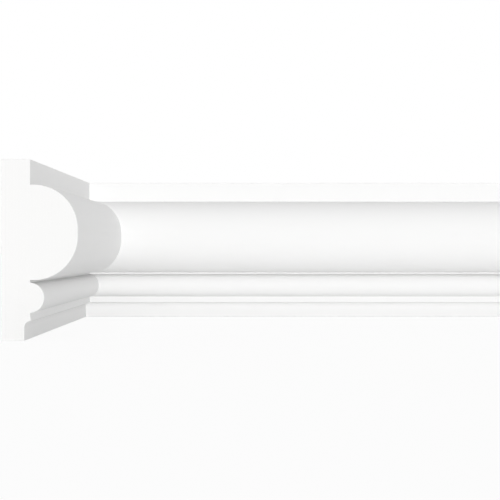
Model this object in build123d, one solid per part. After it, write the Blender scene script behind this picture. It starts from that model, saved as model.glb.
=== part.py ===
from build123d import *
import os
from math import cos, radians, sin

# A moulding that turns a room's inside corner: a long run and a short return, mitred where they meet.
# Millimetres, +Z up. The origin is the foot of the corner. The long run goes along +X with its back
# on Y = 0, and the return comes forward along -Y with its back on X = 0.

# Lengths along the back, and the angle between the two walls in degrees
long_run_length = 2000
short_return_length = 200
corner_angle = 90

# Heights of the section's members, from the foot up
foot_height = 5.15
step_height = 3.1
bead_height = 11.7
quirk_height = 0.95
torus_flat = 2.6
top_fillet_height = 9.8

# Radii of the cove below the step and of the torus
cove_radius = 2.5
torus_radius = 17.1

# Depths out from the wall: the foot, and the plane of the fillets and the quirk
foot_depth = 8.9
fillet_depth = 11.1

# Depths out from that plane: the bead, and the straight stretch before each quarter of the torus
bead_depth = 5.45
torus_lead = 1.3

# Levels where one member ends and the next begins
cove_top = foot_height + cove_radius
bead_bottom = cove_top + step_height
bead_middle = bead_bottom + bead_height / 2
bead_top = bead_bottom + bead_height
torus_bottom = bead_top + quirk_height
nose_bottom = torus_bottom + torus_radius
nose_top = nose_bottom + torus_flat
torus_top = nose_top + torus_radius
section_height = torus_top + top_fillet_height

# Depths that follow from the members
step_edge = foot_depth + cove_radius
bead_front = fillet_depth + bead_depth
torus_centre = fillet_depth + torus_lead
projection = torus_centre + torus_radius

# The section's plane has depth out from the wall as X and height as Y. The mitre plane stands on the
# origin and halves the corner, with its normal on the long run's side.
section_plane = Plane(origin=(0, 0, 0), x_dir=(0, -1, 0), z_dir=(-1, 0, 0))
half_corner = radians(corner_angle / 2)
mitre_plane = Plane(origin=(0, 0, 0), z_dir=(sin(half_corner), cos(half_corner), 0))


def section():
    """The moulding's section, standing on its foot with its back on the wall."""
    with BuildSketch(section_plane) as sketch:
        with BuildLine():
            Polyline(
                (fillet_depth, section_height),
                (0, section_height),
                (0, 0),
                (foot_depth, 0),
                (foot_depth, foot_height),
            )
            CenterArc((step_edge, foot_height), cove_radius, start_angle=180, arc_size=-90)
            Line((step_edge, cove_top), (fillet_depth, bead_bottom))
            ThreePointArc((fillet_depth, bead_bottom), (bead_front, bead_middle), (fillet_depth, bead_top))
            Polyline((fillet_depth, bead_top), (fillet_depth, torus_bottom), (torus_centre, torus_bottom))
            CenterArc((torus_centre, nose_bottom), torus_radius, start_angle=-90, arc_size=90)
            Line((projection, nose_bottom), (projection, nose_top))
            CenterArc((torus_centre, nose_top), torus_radius, start_angle=0, arc_size=90)
            Polyline((torus_centre, torus_top), (fillet_depth, torus_top), (fillet_depth, section_height))
        make_face()
    return sketch.sketch


def mitred_length(length):
    """A length of the moulding along +X, mitred at the corner and cut square at its far end."""
    stock = extrude(section(), amount=length, dir=(1, 0, 0))
    return split(stock, bisect_by=mitre_plane, keep=Keep.TOP)


long_run = mitred_length(long_run_length)
short_return = mirror(mitred_length(short_return_length), about=mitre_plane)

os.makedirs("parts", exist_ok=True)
export_step(long_run, "parts/long_run.step")
export_step(short_return, "parts/short_return.step")
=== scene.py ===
"""A wall moulding that turns an inside corner: its two mitred lengths, their finishes and the light."""

import math

import bmesh
import bpy
from mathutils import Matrix, Vector


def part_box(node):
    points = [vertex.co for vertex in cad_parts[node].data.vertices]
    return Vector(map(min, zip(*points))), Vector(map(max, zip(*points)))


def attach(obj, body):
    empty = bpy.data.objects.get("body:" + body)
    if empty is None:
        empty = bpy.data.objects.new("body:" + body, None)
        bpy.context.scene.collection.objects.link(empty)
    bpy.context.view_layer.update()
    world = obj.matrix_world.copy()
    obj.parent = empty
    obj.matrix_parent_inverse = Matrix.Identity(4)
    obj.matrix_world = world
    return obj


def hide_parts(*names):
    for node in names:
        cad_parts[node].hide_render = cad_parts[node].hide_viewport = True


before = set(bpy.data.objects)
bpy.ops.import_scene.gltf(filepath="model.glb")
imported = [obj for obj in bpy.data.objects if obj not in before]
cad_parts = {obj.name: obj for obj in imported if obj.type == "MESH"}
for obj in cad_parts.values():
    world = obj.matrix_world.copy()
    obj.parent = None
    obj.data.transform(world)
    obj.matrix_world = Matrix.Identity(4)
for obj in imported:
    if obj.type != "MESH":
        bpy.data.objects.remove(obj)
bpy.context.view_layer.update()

MM = 0.001
UP = Vector((0, 0, 1))
QUARTER_TURN = math.pi / 2

# Overall sizes, from the frame
long_low, long_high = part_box("long_run")
return_low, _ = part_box("short_return")
LONG_RUN_LENGTH = long_high.x
RETURN_LENGTH = -return_low.y
SECTION_HEIGHT = long_high.z
PROJECTION = -long_low.y

# Members of the section, as depths out from the wall, heights and radii
FOOT_DEPTH = 8.9 * MM
FOOT_HEIGHT = 5.15 * MM
COVE_RADIUS = 2.5 * MM
STEP_HEIGHT = 3.1 * MM
FILLET_DEPTH = 11.1 * MM
BEAD_HEIGHT = 11.7 * MM
BEAD_DEPTH = 5.45 * MM
QUIRK_HEIGHT = 0.95 * MM
TORUS_RADIUS = 17.1 * MM
TORUS_FLAT = 2.6 * MM
TORUS_CENTRE = PROJECTION - TORUS_RADIUS

# Levels and edges that follow from the members
STEP_EDGE = FOOT_DEPTH + COVE_RADIUS
COVE_TOP = FOOT_HEIGHT + COVE_RADIUS
BEAD_BOTTOM = COVE_TOP + STEP_HEIGHT
BEAD_MIDDLE = BEAD_BOTTOM + BEAD_HEIGHT / 2
BEAD_TOP = BEAD_BOTTOM + BEAD_HEIGHT
TORUS_BOTTOM = BEAD_TOP + QUIRK_HEIGHT
NOSE_BOTTOM = TORUS_BOTTOM + TORUS_RADIUS
NOSE_TOP = NOSE_BOTTOM + TORUS_FLAT
TORUS_TOP = NOSE_TOP + TORUS_RADIUS

# The bead is a little less than half a round, so its centre lies behind the face of the fillets
BEAD_RADIUS = (BEAD_HEIGHT**2 / 4 + BEAD_DEPTH**2) / (2 * BEAD_DEPTH)
BEAD_CENTRE = FILLET_DEPTH + BEAD_DEPTH - BEAD_RADIUS
BEAD_TURN = 2 * math.asin(BEAD_HEIGHT / 2 / BEAD_RADIUS)

# Corners of the section: the primer softens the arrises, and fills the inner corners less
ARRISES = [
    (0, 0),
    (FOOT_DEPTH, 0),
    (STEP_EDGE, COVE_TOP),
    (FILLET_DEPTH, SECTION_HEIGHT),
    (0, SECTION_HEIGHT),
]
ARRIS_RADIUS = 0.25 * MM
INNER_CORNERS = [
    (FILLET_DEPTH, BEAD_BOTTOM),
    (FILLET_DEPTH, BEAD_TOP),
    (FILLET_DEPTH, TORUS_BOTTOM),
    (FILLET_DEPTH, TORUS_TOP),
]
INNER_RADIUS = 0.1 * MM
SAWN_ARRIS = 0.08 * MM

# Steps of the round members and of the softened corners
TORUS_STEPS = 40
BEAD_STEPS = 40
COVE_STEPS = 14
SOFT_STEPS = 4
SAWN_ARRIS_STEPS = 2
SMOOTH_ANGLE = math.radians(32)

# Tolerances: for a vertex at a point, for doubled vertices, and for a face that looks one way
CLOSE = 0.02 * MM
DOUBLE = 0.002 * MM
FACING = 0.999


class Run:
    """The directions of one length: out from its wall, and along it away from the corner."""

    def __init__(self, name, out, along, length):
        self.name = name
        self.out = Vector(out)
        self.along = Vector(along)
        self.length = length

    def place(self, depth, height, along=0.0):
        """A point of the length, from its depth, its height and its distance from the corner."""
        return self.out * depth + UP * height + self.along * along


class SectionPen:
    """Traces the section in edit mode: extrudes a vertex along straights and spins it round curves."""

    def __init__(self, run, start):
        self.run = run
        self.start = start
        self.depth = 0.0
        self.height = 0.0

    def line_to(self, depth, height):
        """Extrudes the vertex in a straight line to a point of the section."""
        step = self.run.place(depth - self.depth, height - self.height)
        bpy.ops.mesh.extrude_region_move(TRANSFORM_OT_translate={"value": step})
        self.depth = depth
        self.height = height

    def round(self, depth, height, turn, steps):
        """Spins the vertex round a centre, by an angle that goes from outwards to upwards."""
        axis = UP.cross(self.run.out)
        centre = self.run.place(depth, height, self.start)
        bpy.ops.mesh.spin(steps=steps, angle=turn, center=centre, axis=axis)
        arm = Matrix.Rotation(turn, 2) @ Vector((self.depth - depth, self.height - height))
        self.depth = depth + arm.x
        self.height = height + arm.y


def trace_section(pen):
    """Draws the section from the foot of the back, up its face and along its top."""
    pen.line_to(FOOT_DEPTH, 0)
    pen.line_to(FOOT_DEPTH, FOOT_HEIGHT)
    pen.round(STEP_EDGE, FOOT_HEIGHT, -QUARTER_TURN, COVE_STEPS)
    pen.line_to(FILLET_DEPTH, BEAD_BOTTOM)
    pen.round(BEAD_CENTRE, BEAD_MIDDLE, BEAD_TURN, BEAD_STEPS)
    pen.line_to(FILLET_DEPTH, TORUS_BOTTOM)
    pen.line_to(TORUS_CENTRE, TORUS_BOTTOM)
    pen.round(TORUS_CENTRE, NOSE_BOTTOM, QUARTER_TURN, TORUS_STEPS)
    pen.line_to(PROJECTION, NOSE_TOP)
    pen.round(TORUS_CENTRE, NOSE_TOP, QUARTER_TURN, TORUS_STEPS)
    pen.line_to(FILLET_DEPTH, TORUS_TOP)
    pen.line_to(FILLET_DEPTH, SECTION_HEIGHT)
    pen.line_to(0, SECTION_HEIGHT)


def edit_mesh():
    """The mesh that is open in edit mode, for selecting by place."""
    return bmesh.from_edit_mesh(bpy.context.edit_object.data)


def select_points(points):
    """Selects only the vertices at the given points."""
    bpy.ops.mesh.select_all(action="DESELECT")
    mesh = edit_mesh()
    for vertex in mesh.verts:
        vertex.select = any((vertex.co - point).length < CLOSE for point in points)
    mesh.select_flush_mode()
    bmesh.update_edit_mesh(bpy.context.edit_object.data)


def select_faces(wanted):
    """Selects only the faces that the test picks."""
    bpy.ops.mesh.select_all(action="DESELECT")
    mesh = edit_mesh()
    for face in mesh.faces:
        if wanted(face):
            face.select_set(True)
    bmesh.update_edit_mesh(bpy.context.edit_object.data)


def is_cut(normal, run):
    """True for the face of a length's square end and of its mitre."""
    mitre = (run.out - run.along).normalized()
    return max(normal.dot(run.along), normal.dot(mitre)) > FACING


def set_first_point(run, start):
    """Adds a plane and merges it into the one vertex that the section starts from."""
    bpy.ops.object.select_all(action="DESELECT")
    bpy.ops.mesh.primitive_plane_add(size=PROJECTION, location=run.place(0, 0, start))
    bpy.ops.object.transform_apply(location=True, rotation=True, scale=True)
    piece = bpy.context.object
    piece.name = run.name
    bpy.ops.object.mode_set(mode="EDIT")
    bpy.ops.mesh.select_mode(type="VERT")
    bpy.ops.mesh.merge(type="CENTER")
    return piece


def soften_section(run, start):
    """Fills the traced section, and rounds its arrises and its inner corners."""
    bpy.ops.mesh.select_all(action="SELECT")
    bpy.ops.mesh.edge_face_add()
    for corners, radius in ((ARRISES, ARRIS_RADIUS), (INNER_CORNERS, INNER_RADIUS)):
        select_points([run.place(depth, height, start) for depth, height in corners])
        bpy.ops.mesh.bevel(offset=radius, segments=SOFT_STEPS, affect="VERTICES")


def draw_and_mitre(run, start):
    """Draws the section out to the length's end, and cuts the mitre at the corner."""
    bpy.ops.mesh.select_all(action="SELECT")
    drawn = run.along * (run.length - start)
    bpy.ops.mesh.extrude_region_move(TRANSFORM_OT_translate={"value": drawn})
    bpy.ops.mesh.select_all(action="SELECT")
    bpy.ops.mesh.bisect(
        plane_co=(0, 0, 0), plane_no=run.along - run.out, use_fill=True, clear_inner=True
    )
    bpy.ops.mesh.select_all(action="SELECT")
    bpy.ops.mesh.remove_doubles(threshold=DOUBLE)
    bpy.ops.mesh.normals_make_consistent(inside=False)


def ease_cuts(run):
    """Takes the edge off the square end, and keeps both cuts apart in the smooth shading."""
    select_faces(lambda face: face.normal.dot(run.along) > FACING)
    bpy.ops.mesh.region_to_loop()
    bpy.ops.mesh.bevel(offset=SAWN_ARRIS, segments=SAWN_ARRIS_STEPS, affect="EDGES")
    select_faces(lambda face: is_cut(face.normal, run))
    bpy.ops.mesh.region_to_loop()
    bpy.ops.mesh.mark_sharp()


def cut_length(run):
    """One length of the moulding, whose section starts far enough back for the mitre."""
    start = -PROJECTION
    piece = set_first_point(run, start)
    trace_section(SectionPen(run, start))
    soften_section(run, start)
    draw_and_mitre(run, start)
    ease_cuts(run)
    bpy.ops.object.mode_set(mode="OBJECT")
    bpy.ops.object.shade_smooth_by_angle(angle=SMOOTH_ANGLE)
    piece.modifiers.new("even shading", "WEIGHTED_NORMAL").keep_sharp = True
    bpy.ops.object.modifier_apply(modifier="even shading")
    return piece


class Shade:
    """A socket of a node tree. Arithmetic on it adds Math nodes."""

    def __init__(self, finish, socket):
        self.finish = finish
        self.socket = socket

    def math(self, operation, first, second):
        return self.finish.node("ShaderNodeMath", {"operation": operation}, {0: first, 1: second})

    def __add__(self, other):
        return self.math("ADD", self, other)

    def __radd__(self, other):
        return self.math("ADD", other, self)

    def __sub__(self, other):
        return self.math("SUBTRACT", self, other)

    def __rsub__(self, other):
        return self.math("SUBTRACT", other, self)

    def __mul__(self, other):
        return self.math("MULTIPLY", self, other)

    def __rmul__(self, other):
        return self.math("MULTIPLY", other, self)


class Finish:
    """A node tree that is filled by expressions."""

    def __init__(self, tree):
        self.tree = tree
        self.tree.nodes.clear()

    def node(self, kind, settings=None, inputs=None, output=0):
        """Adds a node, with its settings first and then its sockets' values or links."""
        made = self.tree.nodes.new(kind)
        for name, value in (settings or {}).items():
            setattr(made, name, value)
        for name, value in (inputs or {}).items():
            if isinstance(value, Shade):
                self.tree.links.new(value.socket, made.inputs[name])
            else:
                made.inputs[name].default_value = value
        return Shade(self, made.outputs[output] if made.outputs else None)


# Sockets that share a name with others on their node, by their place
MIX_FIRST_COLOUR = 6
MIX_SECOND_COLOUR = 7
MIX_COLOUR_RESULT = 2
FIRST_SHADER = 1
SECOND_SHADER = 2


def new_material(name):
    """An empty material with its node tree ready to fill."""
    material = bpy.data.materials.new(name)
    material.use_nodes = True
    return material, Finish(material.node_tree)


def object_place(finish):
    """The place of a point in the object's own frame."""
    return finish.node("ShaderNodeTexCoord", output="Object")


def noise(finish, place, size, detail):
    """A noise from 0 to 1 whose lumps have the given size in metres."""
    settings = {"noise_dimensions": "3D"}
    inputs = {"Vector": place, "Scale": 1 / size, "Detail": detail}
    return finish.node("ShaderNodeTexNoise", settings, inputs)


def foam_cells(finish, place, size):
    """The distance to the middle of the nearest closed cell of the foam, from 0 to about 1."""
    inputs = {"Vector": place, "Scale": 1 / size}
    return finish.node("ShaderNodeTexVoronoi", {"feature": "F1"}, inputs)


def bumpy(finish, relief, strength, depth):
    """A normal that follows a relief."""
    inputs = {"Strength": strength, "Distance": depth, "Height": relief}
    return finish.node("ShaderNodeBump", None, inputs)


def mix_colour(finish, factor, first, second):
    """A colour between two, by a factor."""
    inputs = {"Factor": factor, MIX_FIRST_COLOUR: (*first, 1), MIX_SECOND_COLOUR: (*second, 1)}
    return finish.node("ShaderNodeMix", {"data_type": "RGBA"}, inputs, output=MIX_COLOUR_RESULT)


def mix_shaders(finish, factor, first, second):
    """The first shader where the factor is 0, and the second where it is 1."""
    inputs = {"Fac": factor, FIRST_SHADER: first, SECOND_SHADER: second}
    return finish.node("ShaderNodeMixShader", None, inputs)


def painted(material, finish, colour, roughness, gloss, normal):
    """Ends a material with its shader."""
    inputs = {
        "Base Color": colour,
        "Roughness": roughness,
        "Specular IOR Level": gloss,
        "Normal": normal,
    }
    shader = finish.node("ShaderNodeBsdfPrincipled", None, inputs)
    finish.node("ShaderNodeOutputMaterial", None, {"Surface": shader})
    return material


# Matt primer: its colours, and the sizes and shares of its patterns
PRIMER_WHITE = (0.88, 0.88, 0.877)
PRIMER_SHADE = (0.868, 0.868, 0.865)
PRIMER_DRIFT = 70 * MM
PRIMER_PEEL = 1.4 * MM
PRIMER_GRAIN = 0.3 * MM
PEEL_RELIEF = 0.7
GRAIN_RELIEF = 0.3
PRIMER_BUMP = 0.12
PRIMER_BUMP_DEPTH = 0.05 * MM
PRIMER_ROUGHNESS = 0.66
PEEL_ROUGHNESS = 0.16
PRIMER_GLOSS = 0.15


def white_primer():
    """Matt sprayed primer: a fine orange peel over a finer grain, with a faint drift of tone."""
    material, finish = new_material("white_primer")
    place = object_place(finish)
    drift = noise(finish, place, PRIMER_DRIFT, detail=2)
    peel = noise(finish, place, PRIMER_PEEL, detail=2)
    grain = noise(finish, place, PRIMER_GRAIN, detail=1)
    colour = mix_colour(finish, drift, PRIMER_WHITE, PRIMER_SHADE)
    relief = peel * PEEL_RELIEF + grain * GRAIN_RELIEF
    normal = bumpy(finish, relief, PRIMER_BUMP, PRIMER_BUMP_DEPTH)
    roughness = PRIMER_ROUGHNESS + PEEL_ROUGHNESS * peel
    return painted(material, finish, colour, roughness, PRIMER_GLOSS, normal)


# Bare foam, sawn or planed
FOAM_GLOSS = 0.2
BLOTCH_ROUGHNESS = 0.1

# Distance after which a wave texture of scale 1 repeats
WAVE_PERIOD = math.tau / 20

# Sawn ends, where the pattern of the saw's lines is turned halfway between the two lengths
SAWN_WHITE = (0.88, 0.879, 0.874)
SAWN_SHADE = (0.85, 0.848, 0.84)
SAW_TURN = (0, 0, math.pi / 4)
SAW_PITCH = 0.9 * MM
SAW_WANDER = 1.5
SAWN_CELL = 0.45 * MM
SAWN_BLOTCH = 5 * MM
SAWN_CELL_TONE = 0.4
SAW_LINE_TONE = 0.15
SAWN_CELL_RELIEF = 0.5
SAW_LINE_RELIEF = 0.2
SAWN_BLOTCH_RELIEF = 0.3
SAWN_BUMP = 0.15
SAWN_BUMP_DEPTH = 0.08 * MM
SAWN_ROUGHNESS = 0.85


def saw_lines(finish, place):
    """The faint upright lines that the saw leaves, from 0 to 1."""
    across = finish.node("ShaderNodeMapping", None, {"Vector": place, "Rotation": SAW_TURN})
    inputs = {
        "Vector": across,
        "Scale": WAVE_PERIOD / SAW_PITCH,
        "Distortion": SAW_WANDER,
        "Detail": 2.0,
    }
    return finish.node("ShaderNodeTexWave", {"bands_direction": "X"}, inputs, output="Fac")


def sawn_foam():
    """The cut ends: fine closed cells under the lines of the saw."""
    material, finish = new_material("sawn_foam")
    place = object_place(finish)
    lines = saw_lines(finish, place)
    cells = foam_cells(finish, place, SAWN_CELL)
    blotch = noise(finish, place, SAWN_BLOTCH, detail=2)
    tone = cells * SAWN_CELL_TONE + lines * SAW_LINE_TONE
    colour = mix_colour(finish, tone, SAWN_WHITE, SAWN_SHADE)
    relief = cells * SAWN_CELL_RELIEF + lines * SAW_LINE_RELIEF + blotch * SAWN_BLOTCH_RELIEF
    normal = bumpy(finish, relief, SAWN_BUMP, SAWN_BUMP_DEPTH)
    roughness = SAWN_ROUGHNESS - BLOTCH_ROUGHNESS * blotch
    return painted(material, finish, colour, roughness, FOAM_GLOSS, normal)


# Planed backs, with streaks along the lengths, and the share taken off to bring the tone to about half
PLANED_WHITE = (0.88, 0.875, 0.855)
PLANED_SHADE = (0.74, 0.73, 0.7)
PLANED_STRETCH = (0.02, 0.02, 1)
PLANED_STREAK = 2.5 * MM
PLANED_CELL = 0.7 * MM
PLANED_BLOTCH = 45 * MM
STREAK_TONE = 0.9
PLANED_BLOTCH_TONE = 0.8
PLANED_CELL_TONE = 0.8
PLANED_BALANCE = 0.79
STREAK_RELIEF = 0.5
PLANED_CELL_RELIEF = 0.5
PLANED_BUMP = 0.4
PLANED_BUMP_DEPTH = 0.12 * MM
PLANED_ROUGHNESS = 0.9


def planed_foam():
    """The flat backs: bare foam with open cells, and the faint streaks that planing leaves."""
    material, finish = new_material("planed_foam")
    place = object_place(finish)
    drawn_out = finish.node("ShaderNodeMapping", None, {"Vector": place, "Scale": PLANED_STRETCH})
    streaks = noise(finish, drawn_out, PLANED_STREAK, detail=3)
    cells = foam_cells(finish, place, PLANED_CELL)
    blotch = noise(finish, place, PLANED_BLOTCH, detail=3)
    patterns = streaks * STREAK_TONE + blotch * PLANED_BLOTCH_TONE + cells * PLANED_CELL_TONE
    colour = mix_colour(finish, patterns - PLANED_BALANCE, PLANED_WHITE, PLANED_SHADE)
    relief = streaks * STREAK_RELIEF + cells * PLANED_CELL_RELIEF
    normal = bumpy(finish, relief, PLANED_BUMP, PLANED_BUMP_DEPTH)
    roughness = PLANED_ROUGHNESS - BLOTCH_ROUGHNESS * blotch
    return painted(material, finish, colour, roughness, FOAM_GLOSS, normal)


# Material slots of a length, after the primer's
SAWN_SLOT = 1
PLANED_SLOT = 2


def finish_length(piece, run, primer, sawn, planed):
    """Gives a length its primer, and bare foam on its cut end, its mitre and its back."""
    for material in (primer, sawn, planed):
        piece.data.materials.append(material)
    for face in piece.data.polygons:
        if is_cut(face.normal, run):
            face.material_index = SAWN_SLOT
        elif face.normal.dot(run.out) < -FACING:
            face.material_index = PLANED_SLOT


# Floor, and the strengths of the lights. A strength of 1 is white where it is seen
FLOOR_REACH = 12.0
FLOOR_SIDES = 96
FLOOR_DROP = 0.1 * MM
FLOOR_COLOUR = (0.95, 0.95, 0.95, 1)
FLOOR_GLOW = 0.92
WHITE = (1, 1, 1, 1)
SEEN_WHITE = 1.0
AMBIENT = 0.56

# Lamps: their strengths, the ways they shine, and their widths in degrees
KEY = 1.6
KEY_WAY = (-0.32, 1, -0.005)
KEY_WIDTH = 0.8
BACK = 0.6
BACK_WAY = (0.5, -1, -0.35)
TOP = 0.2
TOP_WAY = (0, 0.1, -1)
SOFT_WIDTH = 40


def seen_directly(finish):
    """1 for rays from the camera, from gloss or through glass, and 0 for light that falls on things."""
    camera = finish.node("ShaderNodeLightPath", output="Is Camera Ray")
    glossy = finish.node("ShaderNodeLightPath", output="Is Glossy Ray")
    through = finish.node("ShaderNodeLightPath", output="Is Transmission Ray")
    return camera + glossy + through


def lay_floor():
    """A pale floor under the foot. It looks nearly white, and keeps a faint shadow."""
    bpy.ops.object.select_all(action="DESELECT")
    bpy.ops.mesh.primitive_circle_add(
        vertices=FLOOR_SIDES, radius=FLOOR_REACH, fill_type="NGON", location=(0, 0, -FLOOR_DROP)
    )
    floor = bpy.context.object
    floor.name = "floor"
    material, finish = new_material("pale_floor")
    matt = finish.node("ShaderNodeBsdfDiffuse", None, {"Color": FLOOR_COLOUR})
    white = finish.node("ShaderNodeEmission", None, {"Strength": SEEN_WHITE})
    shader = mix_shaders(finish, seen_directly(finish) * FLOOR_GLOW, matt, white)
    finish.node("ShaderNodeOutputMaterial", None, {"Surface": shader})
    floor.data.materials.append(material)


def light_world():
    """An even white surround: white where it is seen, and softer as light."""
    world = bpy.data.worlds.new("surround")
    world.use_nodes = True
    bpy.context.scene.world = world
    finish = Finish(world.node_tree)
    soft = finish.node("ShaderNodeBackground", None, {"Color": WHITE, "Strength": AMBIENT})
    white = finish.node("ShaderNodeBackground", None, {"Color": WHITE, "Strength": SEEN_WHITE})
    shader = mix_shaders(finish, seen_directly(finish), soft, white)
    finish.node("ShaderNodeOutputWorld", None, {"Surface": shader})


def add_sun(name, way, strength, width):
    """A lamp that shines one way, with shadows as soft as its width in degrees."""
    bpy.ops.object.light_add(type="SUN")
    lamp = bpy.context.object
    lamp.name = name
    lamp.rotation_euler = Vector(way).to_track_quat("-Z", "Y").to_euler()
    lamp.data.energy = strength
    lamp.data.angle = math.radians(width)


# Camera: its place, its focal length, its shift for the framing, and the range that it sees
EYE = (98.3 * MM, -728.6 * MM, 35.0 * MM)
LENS = 98.9
EYE_SHIFT = -0.0132
NEAREST = 10 * MM
FARTHEST = 100.0


def add_camera():
    """Looks straight at the back wall, level with the middle of the moulding."""
    bpy.ops.object.camera_add(location=EYE, rotation=(QUARTER_TURN, 0, 0))
    camera = bpy.context.object
    camera.data.lens = LENS
    camera.data.shift_x = EYE_SHIFT
    camera.data.clip_start = NEAREST
    camera.data.clip_end = FARTHEST
    bpy.context.scene.camera = camera


long_run = Run("long_run_dressed", (0, -1, 0), (1, 0, 0), LONG_RUN_LENGTH)
short_return = Run("short_return_dressed", (1, 0, 0), (0, -1, 0), RETURN_LENGTH)
primer = white_primer()
sawn = sawn_foam()
planed = planed_foam()
for run, node in ((long_run, "long_run"), (short_return, "short_return")):
    piece = cut_length(run)
    finish_length(piece, run, primer, sawn, planed)
    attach(piece, "root")
    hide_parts(node)

lay_floor()
light_world()
add_sun("key_lamp", KEY_WAY, KEY, KEY_WIDTH)
add_sun("back_lamp", BACK_WAY, BACK, SOFT_WIDTH)
add_sun("top_lamp", TOP_WAY, TOP, SOFT_WIDTH)
add_camera()
bpy.context.scene.view_settings.view_transform = "Standard"
